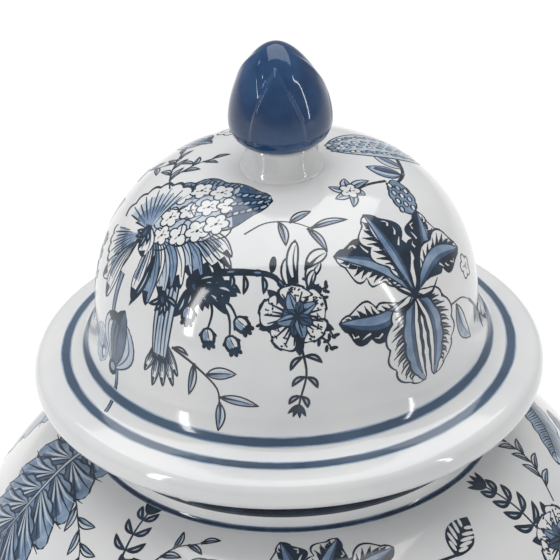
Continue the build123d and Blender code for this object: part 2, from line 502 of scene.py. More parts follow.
class Spine:
    """A smooth line through a few points. Places on it are shares of its length."""

    def __init__(self, *points):
        p = np.array(points, complex)
        p = np.concatenate([[2 * p[0] - p[1]], p, [2 * p[-1] - p[-2]]])
        t = np.linspace(0, 1, 10, endpoint=False)
        runs = [
            b + 0.5 * t * (c - a + t * (2 * a - 5 * b + 4 * c - d + t * (3 * (b - c) + d - a)))
            for a, b, c, d in zip(p, p[1:], p[2:], p[3:])
        ]
        self.line = np.concatenate(runs + [p[-2:-1]])
        self.way = np.concatenate([[0], np.cumsum(np.abs(np.diff(self.line)))])
        self.length = self.way[-1]

    def at(self, share, aside=0.0):
        """The point at a share of the length, moved aside to the left."""
        s = np.asarray(share, float) * self.length
        here, back, ahead = (
            np.interp(x, self.way, self.line.real) + 1j * np.interp(x, self.way, self.line.imag)
            for x in (s, s - 0.2, s + 0.2)
        )
        along = ahead - back
        return here + 1j * along / np.maximum(np.abs(along), 1e-9) * aside

    def heading(self, share):
        along = self.at(min(share + 0.02, 1)) - self.at(max(share - 0.02, 0))
        return along / abs(along)


def moved(drawing, at=0, turn=1, size=1.0, flip=False):
    """A drawing placed in another: mirrored if flip, scaled, turned by a unit number, moved."""
    return [(tone, (np.conj(o) if flip else o) * size * turn + at) for tone, o in drawing]


def way(degree):
    """The unit number of a direction in degrees."""
    return np.exp(1j * radians(degree))


def brush(tone, points, widths):
    """A stroke through points whose width runs evenly through widths."""
    spine = Spine(*points)
    share = np.linspace(0, 1, max(3, int(spine.length / GRAIN) + 2))
    half = np.interp(share, np.linspace(0, 1, len(widths)), widths) / 2
    return tone, np.concatenate([spine.at(share, half), spine.at(share, -half)[::-1]])


def line(points, width=LINE, tone="ink"):
    """A drawn line, thin where the brush lands and lifts."""
    return brush(tone, points, (0.5 * width, width, 0.45 * width))


def oval(tone, at, length, width, turn=1, count=12):
    t = np.linspace(0, 2 * pi, count, endpoint=False)
    return tone, at + turn * (np.cos(t) * length + 1j * np.sin(t) * width) / 2


def bowed(length, bend=0.0):
    """Points of a line along +x whose middle is pushed aside by bend times its length."""
    return 0, length * (0.5 + 1j * bend), length


class Leaf:
    """A leaf about a spine. Each side's width follows a swell, cut into rounded lobes."""

    def __init__(self, points, width, peak=0.45, full=0.8, lobes=(0, 0), depth=0.3):
        self.spine = Spine(*points)
        self.half, self.lobes, self.depth, self.full = width / 2, lobes, depth, full
        self.power = np.log(0.5) / np.log(peak)

    def side(self, share, left):
        swell = np.sin(pi * np.clip(share, 0, 1) ** self.power) ** self.full
        lobes = self.lobes[0 if left else 1]
        if lobes:
            swell = swell * (1 - self.depth * (1 - np.abs(np.sin(pi * lobes * (share + 0.12))) ** 0.7))
        return self.half * swell

    def body(self, tone, inset=0.0, start=0.0, end=1.0, left=1.0, right=1.0):
        """The leaf's outline from start to end, drawn in by inset. left and right scale the
        sides, and a negative scale puts that side's edge across the spine."""
        lobed = max(self.lobes)
        share = np.linspace(start, end, max(13, 7 * lobed, int(self.spine.length / GRAIN)))
        up = np.maximum(self.side(share, True) - inset, 0) * left
        down = np.maximum(self.side(share, False) - inset, 0) * right
        return tone, np.concatenate([self.spine.at(share, up), self.spine.at(share, -down)[::-1]])

    def at(self, share, aside=0.0):
        return self.spine.at(share, aside)

    def half_at(self, share, left=True):
        """How far the edge lies from the spine at one share of the length."""
        return float(self.side(np.array([share]), left)[0])

    def vein(self, start, reach, slant, width, left=True, tone="ink", root=0.0):
        """A stroke from root to reach of the leaf's half width, slanting towards the tip."""
        out = 1 if left else -1
        across = self.half_at(start, left) * out
        tip = min(start + slant, 0.99)
        a = self.at(start, across * root)
        b = self.at((start + tip) / 2, across * (root + reach) * 0.55)
        c = self.at(tip, self.half_at(tip, left) * out * reach)
        return brush(tone, (a, b, c), (width, 0.8 * width, 0.2 * width))


def simple_leaf(length, width, bend=0.1, fill="paper", shade="mid"):
    """A small pointed leaf: dark outline, light edge, washed middle, dark lower side."""
    points = bowed(length, bend)
    leaf = Leaf(points, width)
    return [
        leaf.body("ink"),
        leaf.body(fill, LINE * 0.9, 0.05, 0.93),
        leaf.body("pale", LINE * 0.9, 0.1, 0.86, 0.62, 0.9),
        leaf.body(shade, LINE * 0.9, 0.08, 0.78, 0.2, 0.85),
        brush("ink", [leaf.at(0.0), leaf.at(0.4), leaf.at(0.9)], (0.9, 0.42, 0.15)),
    ]


def dark_leaf(length, width, bend=0.12):
    """A small leaf painted solid, with a light slit."""
    leaf = Leaf(bowed(length, bend), width, 0.5)
    return [leaf.body("ink"), leaf.body("pale", 0.42 * width, 0.3, 0.75)]


def plume(length, width, lobes=(3, 4), bend=0.05, broad=0.27):
    """A long lobed petal: solid dark side, blue band down the middle, white side with a comb."""
    points = bowed(length, bend)
    leaf = Leaf(points, width, 0.64, 0.85, lobes, 0.36)
    drawing = [leaf.body("ink"), leaf.body("paper", 0.6, 0.16, 0.96, 1.0, 0.0)]
    teeth = max(10, int(length))
    for k in range(teeth):
        share = 0.2 + 0.7 * k / teeth
        reach = (0.78, 0.5, 0.64)[k % 3]
        drawing.append(leaf.vein(share, reach, 0.06, 0.8, root=0.25))
    for share, reach in ((0.52, 0.76), (0.64, 0.7), (0.76, 0.66)):
        drawing.append(leaf.vein(share, reach, 0.08, 0.6, False, "paper", 0.56))
    band = Leaf(points, broad * width, 0.5, 0.75)
    drawing += [band.body("ink"), band.body("deep", 0.32, 0.02, 0.98)]
    drawing.append(band.body("mid", 0.4, 0.04, 0.97, 1.0, 0.3))
    return drawing


def hanging_plume(points, width, flip=False):
    """A long hanging petal: ragged white outer edge, heavy comb, blue band, narrow inner edge."""
    leaf = Leaf(points, 2 * width, 0.48, 0.58, (5, 5), 0.16)
    outer, inner = ((0.0, 1.0), (0.3, 0.0)) if flip else ((1.0, 0.0), (0.0, 0.3))

    def shaped(tone, inset, start, end, out, back):
        sides = [out * a + back * b for a, b in zip(outer, inner)]
        return leaf.body(tone, inset, start, end, *sides)

    drawing = [shaped("ink", 0.0, 0.0, 1.0, 1.0, 1.0), shaped("paper", 0.6, 0.03, 0.97, 1.0, 0.62)]
    teeth = int(leaf.spine.length / 1.3)
    for k in range(teeth):
        share = 0.1 + 0.76 * k / teeth
        drawing.append(leaf.vein(share, (0.8, 0.7)[k % 2], 0.07, 0.95, not flip, root=0.3))
    drawing.append(shaped("ink", 0.0, 0.0, 1.0, 0.44, 0.12))
    drawing.append(shaped("mid", 0.5, 0.03, 0.99, 0.38, 0.0))
    drawing.append(shaped("deep", 0.5, 0.06, 0.9, 0.14, 0.0))
    return drawing


def streak(length, width, bend):
    """A single drawn stroke that tapers to its end."""
    return [brush("ink", bowed(length, bend), (width, 0.9 * width, 0.2 * width))]


def striped_leaf(length, width, bend=0.1, fill="paper"):
    """A long petal with a folded dark side, a washed middle and a few lengthwise strokes."""
    points = (0, length * (0.45 + 1j * bend), length)
    leaf = Leaf(points, width, 0.62, 0.6, (2, 3), 0.12)
    drawing = [leaf.body("ink"), leaf.body(fill, 0.42, 0.03, 0.95)]
    drawing.append(leaf.body("mid", 0.42, 0.08, 0.7, -0.2, 0.9))
    strokes = ((-0.42, 0.8, "ink", 0.55), (0.05, 0.7, "ink", 0.4), (0.5, 0.86, "deep", 0.4))
    for aside, end, tone, heavy in strokes:
        path = [leaf.at(s, aside * leaf.half_at(s)) for s in (0.06, 0.35, 0.65, end)]
        drawing.append(brush(tone, path, (0.3, heavy, heavy, 0.15)))
    drawing.append(leaf.body("ink", 0.0, 0.82, 1.0, 0.2, 0.95))
    return drawing


def rolled_petal(length, width):
    """A pale rounded petal curled over on itself."""
    leaf = Leaf(bowed(length, 0.16), width, 0.45, 0.6)
    drawing = [leaf.body("mid"), leaf.body("pale", LINE * 0.8, 0.03, 0.96)]
    drawing.append(leaf.body("mid", 1.2, 0.1, 0.85, -0.2, 1.0))
    drawing.append(oval("deep", leaf.at(0.28, -0.12 * width), 0.36 * width, 0.3 * width))
    drawing.append(oval("paper", leaf.at(0.26, -0.16 * width), 0.26 * width, 0.2 * width))
    for share in (0.3, 0.45, 0.6, 0.75):
        drawing.append(leaf.vein(share, 0.8, 0.1, 0.4, True, "deep"))
    return drawing


def white_bud(length, width):
    """A slim white bud with a dark base."""
    leaf = Leaf(bowed(length, 0.08), width, 0.62, 0.6)
    middle = [leaf.at(s, -0.08 * width) for s in (0.2, 0.6, 0.88)]
    return [leaf.body("ink"), leaf.body("paper", 0.55, 0.3, 0.93), brush("ink", middle, (1.2, 0.5, 0.15))]


def curl_twig(length, rng):
    """A short dark twig of little leaves."""
    drawing = [brush("ink", bowed(length, 0.15), (0.7, 0.6, 0.4))]
    for k in range(4):
        at = length * (0.3 + 0.22 * k)
        turn = way((1 if k % 2 else -1) * rng.uniform(35, 65))
        drawing.append(oval("ink", at + 0.9 * turn, 2.1, 1.0, turn, 8))
    drawing.append(oval("ink", length, 1.5, 1.1, 1, 8))
    return drawing


def dark_tuft(length, count, rng):
    """A thicket of solid dark leaflets with pale glints between them."""
    drawing = []
    for k in range(count):
        turn = way(-70 + 140 * (k + 0.5) / count + rng.uniform(-9, 9))
        drawing += moved(dark_leaf(length * rng.uniform(0.7, 1.05), 0.3 * length, 0.1), turn=turn)
    drawing.append(oval("ink", 0.1 * length, 0.75 * length, 0.55 * length))
    drawing.append(oval("deep", 0.16 * length, 0.3 * length, 0.16 * length, way(20)))
    return drawing


def twin_stem(points, width):
    """A stem drawn as two dark lines with a wash between them."""
    return [
        brush("ink", points, (width * 1.5, width, width * 0.8)),
        brush("mid", points, (width * 0.8, width * 0.45, width * 0.3)),
    ]


def tassel(points, width):
    """A long striped tassel that spreads into narrow leaflets at its end."""
    leaf = Leaf(points, width, 0.3, 0.35)
    drawing = []
    for turn, reach in ((-24, 0.42), (-10, 0.5), (3, 0.46), (17, 0.44), (30, 0.36)):
        tip = striped_leaf(reach * leaf.spine.length, 0.42 * width, 0.04)
        drawing += moved(tip, leaf.at(0.56), leaf.spine.heading(0.6) * way(turn))
    drawing += [leaf.body("ink", 0.0, 0.0, 0.8), leaf.body("pale", LINE, 0.03, 0.74)]
    for aside, tone in ((-0.6, "ink"), (-0.25, "mid"), (0.1, "ink"), (0.5, "deep")):
        path = [leaf.at(s, aside * width * 0.45) for s in (0.02, 0.3, 0.55, 0.76)]
        drawing.append(brush(tone, path, (0.5, 0.62, 0.55, 0.3)))
    return drawing


def scaly_bulb(length, width, rng):
    """A round bulb with patterned blue scales and a short crown."""
    leaf = Leaf(bowed(length), width, 0.55, 0.5, (4, 4), 0.1)
    drawing = [leaf.body("ink"), leaf.body("mid", LINE * 1.1, 0.03, 0.96)]
    for k in range(10):
        share, aside = 0.2 + 0.075 * k, 0.24 * width * (k % 3 - 1)
        drawing.append(oval("ink", leaf.at(share, aside), 2.5, 1.9, way(rng.uniform(0, 180)), 9))
        drawing.append(oval("pale" if k % 2 else "paper", leaf.at(share, aside), 1.6, 1.0, 1, 8))
    return drawing


def pierced_leaf(length, width):
    """A broad dark leaf with light cells between its veins."""
    leaf = Leaf(bowed(length, 0.05), width, 0.47, 0.9)
    drawing = [leaf.body("ink")]
    for k in range(5):
        share = 0.22 + 0.14 * k
        across = leaf.half_at(share)
        for side in (1, -1):
            turn = leaf.spine.heading(share) * way(48 * side)
            at = leaf.at(share, 0.5 * across * side)
            drawing.append(oval("paper", at, 1.1 * across, 0.085 * length, turn, 10))
    return drawing


def lappet(length, width):
    """An upright border petal: nested outlines about a streaked heart."""
    leaf = Leaf(bowed(length), width, 0.42, 0.42)
    outer = (("paper", 0.5, 0.03, 0.98), ("deep", 1.3, 0.05, 0.92))
    inner = (("paper", 1.9, 0.06, 0.88), ("mid", 2.5, 0.07, 0.78))
    drawing = [leaf.body("ink", 0.0, 0.02)] + [leaf.body(*layer) for layer in outer + inner]
    for aside in (-0.16, 0.0, 0.16):
        path = [leaf.at(share, aside * width * part) for share, part in ((0.1, 1), (0.5, 1), (0.72, 0.5))]
        drawing.append(brush("ink", path, (0.6, 0.5, 0.2)))
    return drawing


def striped_petal(points, width, stripes, fill):
    """A narrow petal drawn with lengthwise strokes and a dark tip."""
    leaf = Leaf(points, width, 0.55, 0.62)
    drawing = [leaf.body("ink"), leaf.body(fill, LINE, 0.03, 0.96)]
    for k in range(stripes):
        aside = (k + 0.5) / stripes * 1.5 - 0.75
        share = np.array([0.08, 0.35, 0.62, 0.9 - 0.1 * (k % 2)])
        path = [leaf.at(s, aside * leaf.half_at(s)) for s in share]
        drawing.append(brush("ink" if k % 3 else "deep", path, (0.2, 0.5, 0.62, 0.25)))
    drawing.append(leaf.body("ink", LINE * 0.5, 0.72, 0.99, 1.0, -0.1))
    return drawing


def fan(radius, low, high):
    """An open fan petal seen from the side: scalloped rim, wash at the root, radial strokes."""
    strokes = 11
    turns = np.linspace(low, high, 60)
    scallop = 1 - 0.07 * (1 - np.abs(np.sin(np.linspace(0, 1, 60) * pi * strokes * 0.55)))
    edge = radius * scallop * np.exp(1j * np.radians(turns))
    drawing = [("ink", np.concatenate([[0], edge]))]
    drawing.append(("paper", np.concatenate([[0.1 * edge[30]], edge * 0.94])))
    drawing.append(("pale", np.concatenate([[0], 0.72 * edge[3:-3]])))
    drawing.append(("mid", np.concatenate([[0], 0.5 * edge[10:-4]])))
    for k in range(strokes):
        turn = way(low + (high - low) * (k + 0.5) / strokes)
        inner, outer = (0.22, 0.84) if k % 2 else (0.34, 0.74)
        path = (radius * inner * turn, radius * outer * turn)
        drawing.append(brush("ink" if k % 3 else "deep", path, (0.15, 0.6, 0.3)))
    return drawing


def blossom(radius, turn):
    """A small open blossom: white round petals, dark eye."""
    drawing = []
    heads = [turn + 72 * k for k in range(5)]
    for tone, out, rim in (("ink", 0.56, 0), ("paper", 0.54, LINE * 1.5)):
        for head in heads:
            size = (0.98 * radius - rim, 0.92 * radius - rim)
            drawing.append(oval(tone, out * radius * way(head), *size, way(head), 10))
    drawing.append(oval("paper", 0, 0.7 * radius, 0.7 * radius))
    drawing.append(oval("ink", 0, 0.3 * radius, 0.22 * radius, way(40), 8))
    for head in heads[::2]:
        drawing.append(line((0.2 * radius * way(head), 0.48 * radius * way(head)), 0.25))
    return drawing


def pod(length, width, rng):
    """A fat pod of blossoms on a grey wash, ending in a dark scaly tip."""
    leaf = Leaf(bowed(length, 0.02), width, 0.42, 0.6, (4, 4), 0.16)
    drawing = [leaf.body("ink"), leaf.body("pale", 0.55, 0.02, 0.975)]
    drawing.append(leaf.body("mid", 0.55, 0.02, 0.7, 1.0, -0.35))
    for k in range(18):
        share = 0.05 + 0.68 * k / 18
        drawing.append(leaf.vein(share, 0.96, 0.06, 0.8, True, "ink", 0.7))
        if k % 2:
            drawing.append(leaf.vein(share, 0.96, 0.05, 0.55, False, "ink", 0.76))
    for row in (-1, 0, 1):
        for k in range(4):
            share = 0.12 + 0.16 * k + 0.08 * (row == 0)
            aside = row * 0.29 * width * np.sin(pi * (share * 0.75 + 0.18)) - 0.03 * width
            at = leaf.at(share, aside + rng.uniform(-0.5, 0.5))
            size = 0.135 * width * rng.uniform(0.85, 1.1)
            curl = way(rng.uniform(0, 360))
            tendril = [at + far * size * curl * way(turn) for far, turn in ((1.45, 0), (1.5, 50), (1.3, 95))]
            drawing.append(line(tendril, 0.5))
            drawing += moved(blossom(size, rng.uniform(0, 72)), at)
    drawing.append(leaf.body("deep", 0.6, 0.74, 0.96))
    for k in range(17):
        share = 0.7 + 0.016 * k
        at = leaf.at(share, (k % 3 - 1) * 0.36 * width * (1.18 - share))
        drawing.append(oval("ink", at, 2.6, 2.1, way(30), 9))
        drawing.append(oval("pale" if k % 2 else "mid", at, 1.6, 1.0, way(30), 8))
    return drawing


def bud(length, width, fill="mid"):
    """A closed flower bud: three striped petals held in a small cup."""
    drawing = []
    for side in (1, -1):
        points = (0, length * 0.5 + 0.34j * side * width, length * 0.86 + 0.12j * side * width)
        drawing += striped_petal(points, 0.58 * width, 2, "pale")
    drawing += striped_petal(bowed(length), 0.62 * width, 3, fill)
    drawing.append(oval("ink", 0.02 * length, 0.2 * length, 0.36 * width))
    drawing.append(oval("mid", 0.03 * length, 0.1 * length, 0.2 * width))
    return drawing


def berry(drop, size, bend):
    """A hanging berry on a bent stalk, with a small cap of leaves and a dark ragged end."""
    at = drop + size * 0.4
    drawing = [brush("ink", bowed(drop, bend), (1.1, 0.7, 0.5))]
    for turn in (-62, 62):
        drawing += moved([oval("ink", 0.3 * size, 0.8 * size, 0.3 * size, 1, 8)], at - 0.4 * size, way(turn))
    drawing.append(oval("ink", at, size * 1.25, size * 1.05))
    drawing.append(oval("paper", at - 0.06 * size, size * 0.85, size * 0.66))
    drawing += [oval("mid", at - 0.05 * size - 0.14j * size, size * 0.75, size * 0.3, 1, 8)]
    for turn in (-34, 0, 34):
        end = [oval("ink", 0.4 * size, 0.62 * size, 0.34 * size, 1, 8)]
        drawing += moved(end, at + 0.1 * size, way(turn))
    drawing.append(line((at - 0.5 * size, at + 0.2 * size + 0.08j * size), 0.3))
    return drawing


def sprig(points, leaves, size=5.0, tip=True, width=0.36, stalk=0.5):
    """A curved twig with leaves taking turns on its two sides."""
    spine = Spine(*points)
    drawing = [brush("ink", points, (stalk, 0.8 * stalk, 0.5 * stalk))]
    for k in range(leaves):
        share = 0.22 + 0.68 * k / max(leaves - 0.5, 1)
        side = 1 if k % 2 else -1
        grown = size * (1.05 - 0.25 * share)
        leaf = moved(simple_leaf(grown, grown * width), flip=side > 0)
        drawing += moved(leaf, spine.at(share), spine.heading(share) * way(42 * side))
    if tip:
        drawing += moved(simple_leaf(size * 0.9, size * width * 0.85), spine.at(1.0), spine.heading(1.0))
    return drawing


def dark_sprig(points, pairs, size):
    """A twig with pairs of solid leaves and a tuft of pointed buds at its end."""
    spine = Spine(*points)
    drawing = [brush("ink", points, (0.7, 0.55, 0.5))]
    for k in range(pairs):
        share = 0.12 + 0.62 * k / max(pairs - 1, 1)
        for side in (1, -1):
            turn = spine.heading(share) * way(side * (54 - 8 * k))
            leaf = dark_leaf(size * (1.25 - 0.14 * k), size * 0.42, 0.14 * side)
            drawing += moved(leaf, spine.at(share), turn)
    for side in (-38, -14, 12, 36):
        leaf = Leaf((0, 0.5 * size, size * 0.95), size * 0.3)
        drawing += moved([leaf.body("ink")], spine.at(0.88), spine.heading(1.0) * way(side))
    return drawing


def rosette(radius, rng):
    """An open flower: ragged dotted petals behind a dark heart of pointed leaflets."""
    drawing, petals = [], 5
    for k in range(petals):
        tuft = Leaf((0.4 * radius, 0.8 * radius, 1.12 * radius), 0.3 * radius, 0.5, 0.8)
        drawing += moved([tuft.body("ink")], turn=way(360 / petals * (k + 0.5) + rng.uniform(-9, 9)))
    for k in range(petals):
        head = 360 / petals * k + rng.uniform(-7, 7)
        length = radius * rng.uniform(0.88, 1.1)
        wide = 5.6 * radius / petals * rng.uniform(0.85, 1.05)
        petal = Leaf((0.1 * radius, length * (0.55 + 0.06j), length), wide, 0.68, 0.5, (2, 3), 0.5)
        shapes = [petal.body("ink"), petal.body("paper", 0.75, 0.3, 0.9)]
        for _ in range(10):
            share, aside = rng.uniform(0.58, 0.85), rng.uniform(-0.25, 0.25) * radius
            long, turn = rng.uniform(0.5, 1.1), way(rng.uniform(0, 180))
            shapes.append(oval("ink", petal.at(share, aside), long, 0.5, turn, 6))
        for ray in range(5):
            aside = (ray - 2) * 0.1 * radius
            end = petal.at(0.6 + 0.16 * (ray % 2), aside * 1.8)
            shapes.append(brush("ink", (petal.at(0.1, aside * 0.4), end), (0.9, 0.3)))
        drawing += moved(shapes, turn=way(head))
    for k in range(8):
        turn = way(45 * k + rng.uniform(-14, 14))
        reach = radius * rng.uniform(0.42, 0.78)
        leaflet = Leaf(bowed(reach, 0.05), 0.3 * radius, 0.42, 0.9)
        shapes = [leaflet.body("ink", -0.2), leaflet.body(("mid", "deep")[k % 2], 0.15, 0.05, 0.86)]
        drawing += moved(shapes + [line((0.1 * reach, 0.85 * reach), 0.5)], turn=turn)
    for k in range(7):
        turn = way(51.4 * k + 20)
        drawing.append(brush("ink", (0, 0.36 * radius * turn), (0.9, 0.3)))
    return drawing


def peony(radius, rng):
    """A full flower in three rounds of petals, each streaked from its root."""
    drawing = []
    for reach, count, fill, inner in (
        (1.0, 9, "pale", "mid"), (0.72, 7, "mid", "deep"), (0.44, 5, "pale", "deep"),
    ):
        start = rng.uniform(0, 60)
        for k in range(count):
            length = radius * reach * rng.uniform(0.93, 1.05)
            petal = Leaf((0.05, 0.55 * length, length), radius * reach * 5.0 / count, 0.66, 0.42, (2, 3), 0.2)
            shapes = [petal.body("ink"), petal.body("paper", LINE * 1.25, 0.05, 0.95)]
            shapes.append(petal.body(fill, LINE * 2.2, 0.05, 0.86))
            for ray in range(6):
                aside = (ray - 2.5) * 0.42 * radius * reach / count * 1.6
                end = petal.at(0.84 - 0.1 * abs(ray - 2.5) / 2.5 - 0.05 * (ray % 2), aside)
                path = (petal.at(0.25, 0.4 * aside), end)
                shapes.append(brush(inner if ray % 2 else "ink", path, (0.3, 0.55, 0.2)))
            drawing += moved(shapes, turn=way(start + 360 / count * k + rng.uniform(-5, 5)))
    drawing.append(oval("deep", 0, 0.36 * radius, 0.34 * radius, 1, 14))
    for k in range(12):
        drawing.append(oval("paper", 0.12 * radius * way(137.5 * k) * sqrt(k / 4), 0.5, 0.42, 1, 6))
    return drawing


def acanthus(length, width, pairs):
    """A great scrolled leaf: overlapping veined lobes in pairs along a light midrib."""
    rib = Leaf(bowed(length, 0.06), 0.6 * width, 0.45, 0.5)
    spine = rib.spine
    drawing = [rib.body("ink"), rib.body("mid", LINE)]
    for k in range(pairs + 1):
        share = 0.03 + 0.8 * k / pairs
        reach = width * 0.58 * sin(pi * (0.2 + 0.62 * share)) ** 0.7
        lobes = ((1, 62 - 6 * k), (-1, 62 - 6 * k)) if k < pairs else ((1, 4),)
        for side, turn in lobes:
            points = (0, reach * (0.5 + 0.14j * side), reach * (0.98 + 0.3j * side))
            lobe = Leaf(points, 1.5 * length / pairs, 0.56, 0.5, (3, 3), 0.26)
            shade = (-0.15, 1.0) if side > 0 else (1.0, -0.15)
            shapes = [lobe.body("ink"), lobe.body("mid", 0.7, 0.0, 0.97)]
            shapes.append(lobe.body("deep", 0.7, 0.0, 0.8, *shade))
            for ray in range(7):
                aside = (ray - 3) * 0.1 * reach
                end = lobe.at(0.86 - 0.1 * (ray % 2), 1.15 * aside)
                path = (lobe.at(0.02), lobe.at(0.5, 0.55 * aside), end)
                shapes.append(brush(("ink", "pale")[ray % 2], path, (0.4, 0.75, 0.2)))
            drawing += moved(shapes, spine.at(share), spine.heading(share) * way(side * turn))
    drawing.append(brush("ink", (spine.at(0), spine.at(0.5), spine.at(0.9)), (2.2, 1.7, 0.6)))
    drawing.append(brush("pale", (spine.at(0), spine.at(0.5), spine.at(0.86)), (1.1, 0.7, 0.2)))
    return drawing


def feather_leaf(length, width, bend=0.1):
    """A long leaf closely hatched on both sides of its rib."""
    leaf = Leaf(bowed(length, bend), width, 0.45, 0.6, (7, 7), 0.14)
    drawing = [leaf.body("ink"), leaf.body("pale", LINE * 1.1, 0.02, 0.97)]
    drawing.append(leaf.body("mid", LINE * 1.1, 0.05, 0.93, 0.0, 1.0))
    for k in range(int(leaf.spine.length / 1.15)):
        share = 0.06 + 0.84 * k / (leaf.spine.length / 1.15)
        for left in (True, False):
            drawing.append(leaf.vein(share, 0.84, 0.09, 0.55, left, "ink" if k % 3 else "deep"))
    drawing.append(brush("ink", (leaf.at(0), leaf.at(0.5), leaf.at(0.97)), (0.9, 0.7, 0.3)))
    return drawing


def cone(length, width):
    """A scaly seed head."""
    leaf = Leaf(bowed(length), width, 0.5, 0.55)
    drawing = [leaf.body("ink"), leaf.body("pale", LINE, 0.02, 0.97)]
    rows = max(4, int(length / 1.7))
    for k in range(rows):
        share = 0.95 - 0.88 * k / rows
        across = leaf.half_at(share)
        scales = 4 if k % 2 else 3
        for m in range(scales):
            aside = across * ((m + 0.5) / scales * 1.8 - 0.9)
            at = leaf.at(share, aside)
            drawing.append(oval("ink", at, 2.2, 1.65, 1, 8))
            drawing.append(oval("mid" if (k + m) % 3 else "paper", at - 0.15, 1.5, 1.05, 1, 8))
    return drawing


def branch(points, widths, knots=3):
    """A rough dark branch with a few light flecks."""
    spine, thick = Spine(*points), max(widths)
    drawing = [brush("ink", points, widths)]
    for k in range(knots):
        share = (k + 0.6) / knots * 0.9
        turn = spine.heading(share)
        drawing.append(oval("ink", spine.at(share), 1.25 * thick, 1.15 * thick * (1 - 0.4 * share), turn))
        drawing.append(oval("mid", spine.at(share, 0.1), 0.9 * thick, 0.24 * thick, turn, 8))
    return drawing


# ------------------------------------------------------------------ painting: the ground it lies on
class Ground:
    """A painted stretch of a turned surface. A place on it is an azimuth in degrees, right of
    the front, and a height: millimetres up along the outline from its point number zero.
    Shapes are cut on a flat sheet, the stretch unrolled at one radius and slit at seam."""

    def __init__(self, face, zero, radius, seam, seed):
        self.face, self.flat_radius = face, radius
        way = np.concatenate([[0], np.cumsum(np.hypot(*np.diff(face, axis=0).T))])
        self.way = way - way[zero]
        self.slope = np.gradient(face, self.way, axis=0)
        self.shapes = []
        self.seam = radians(seam)
        self.rng = np.random.default_rng(seed)

    def radius(self, height):
        return np.interp(height, self.way, self.face[:, 0])

    def height_at(self, z):
        """The height along the outline of a level above the table."""
        return float(np.interp(z, self.face[:, 1], self.way))

    def apex(self, height):
        """How far up the outline the cone that touches the surface at a height has its tip."""
        narrowing = -float(np.interp(height, self.way, self.slope[:, 0]))
        return self.radius(height) / (narrowing if abs(narrowing) > 0.02 else 0.02)

    def toward(self, start, end):
        """The vector from one place to another, on the touching cone rolled out flat."""
        apex = self.apex(start[1])
        far = apex - (end[1] - start[1])
        turn = radians(end[0] - start[0]) * self.radius(end[1]) / abs(far)
        return abs(far) * sin(turn) + 1j * (apex - far * cos(turn))

    def put(self, drawing, azimuth, height, heading=0.0, size=1.0, flip=False):
        """Paints a drawing with its origin at a place, growing in the direction of heading."""
        apex = self.apex(height)
        for tone, outline in moved(drawing, 0, way(heading), size, flip):
            far = apex - outline.imag
            out = np.sign(apex) * np.hypot(far, outline.real)
            high = np.clip(height + apex - out, self.way[0] + 0.1, self.way[-1] - 0.1)
            arc = np.arctan2(outline.real, np.abs(far)) * np.abs(out)
            turn = radians(azimuth) + arc / self.radius(high)
            self.shapes.append((tone, self.flat_radius * turn + 1j * high))

    def grow(self, motif, start, end, *sizes, flip=False, **more):
        """Paints a motif whose first argument is its length from one place to another."""
        vector = self.toward(start, end)
        heading = degrees(atan2(vector.imag, vector.real))
        self.put(motif(abs(vector), *sizes, **more), *start, heading, 1.0, flip)

    def along(self, motif, places, *sizes, **more):
        """Paints a motif whose first argument is its line, through places."""
        self.put(motif([self.toward(places[0], place) for place in places], *sizes, **more), *places[0])

    def ring(self, height, layers, waver=0.12):
        """A painted line all the way round, as (tone, width) layers from soft edge to core."""
        turn = self.seam + np.linspace(-2 * pi, 0, 361)
        drift = waver * (np.sin(2 * turn + height) + 0.5 * np.sin(5 * turn + 2 * height))
        for tone, width in layers:
            edge = 0.5 * width + 0.04 * np.sin(17 * turn + 9 * width)
            loop = [turn * self.flat_radius + 1j * (height + drift + side * edge) for side in (-1, 1)]
            self.shapes.append((tone, np.concatenate([loop[0], loop[1][::-1]])))

    def on_surface(self, flat, proud):
        """Points in metres and unit normals for places on the flat sheet."""
        azimuth, high = flat.real / self.flat_radius, flat.imag
        r, z = (np.interp(high, self.way, self.face[:, k]) for k in (0, 1))
        dr, dz = (np.interp(high, self.way, self.slope[:, k]) for k in (0, 1))
        size = np.hypot(dr, dz)
        normal = np.stack([dz * np.sin(azimuth), -dz * np.cos(azimuth), -dr], 1) / size[:, None]
        point = np.stack([r * np.sin(azimuth), -r * np.cos(azimuth), z], 1)
        return (point + proud * normal) * MM, normal


class Panel:
    """A window on a ground, in which a scene laid out for the lid is painted larger. azimuth
    and height say where the scene's own place (0, 45) comes to lie."""

    def __init__(self, ground, azimuth, height, size):
        self.ground, self.azimuth, self.height, self.size = ground, azimuth, height, size
        self.rng = ground.rng

    def place(self, azimuth, height):
        high = self.height + (height - 45) * self.size
        return self.azimuth + azimuth * self.size * DOME_R / BELLY_R, high

    def put(self, drawing, azimuth, height, heading=0.0, size=1.0, flip=False):
        self.ground.put(drawing, *self.place(azimuth, height), heading, size * self.size, flip)

    def grow(self, motif, start, end, *sizes, flip=False, **more):
        vector = self.ground.toward(self.place(*start), self.place(*end)) / self.size
        heading = degrees(atan2(vector.imag, vector.real))
        self.put(motif(abs(vector), *sizes, **more), *start, heading, 1.0, flip)

    def along(self, motif, places, *sizes, **more):
        first = self.place(*places[0])
        points = [self.ground.toward(first, self.place(*place)) / self.size for place in places]
        self.put(motif(points, *sizes, **more), *places[0])


def inside(points, loop):
    """Which points lie inside a closed outline, by its winding."""
    x, y = points.real[:, None], points.imag[:, None]
    a, b = loop[None, :], np.roll(loop, -1)[None, :]
    side = (b.real - a.real) * (y - a.imag) - (x - a.real) * (b.imag - a.imag)
    up = (a.imag <= y) & (b.imag > y) & (side > 0)
    down = (a.imag > y) & (b.imag <= y) & (side < 0)
    return up.sum(1) != down.sum(1)


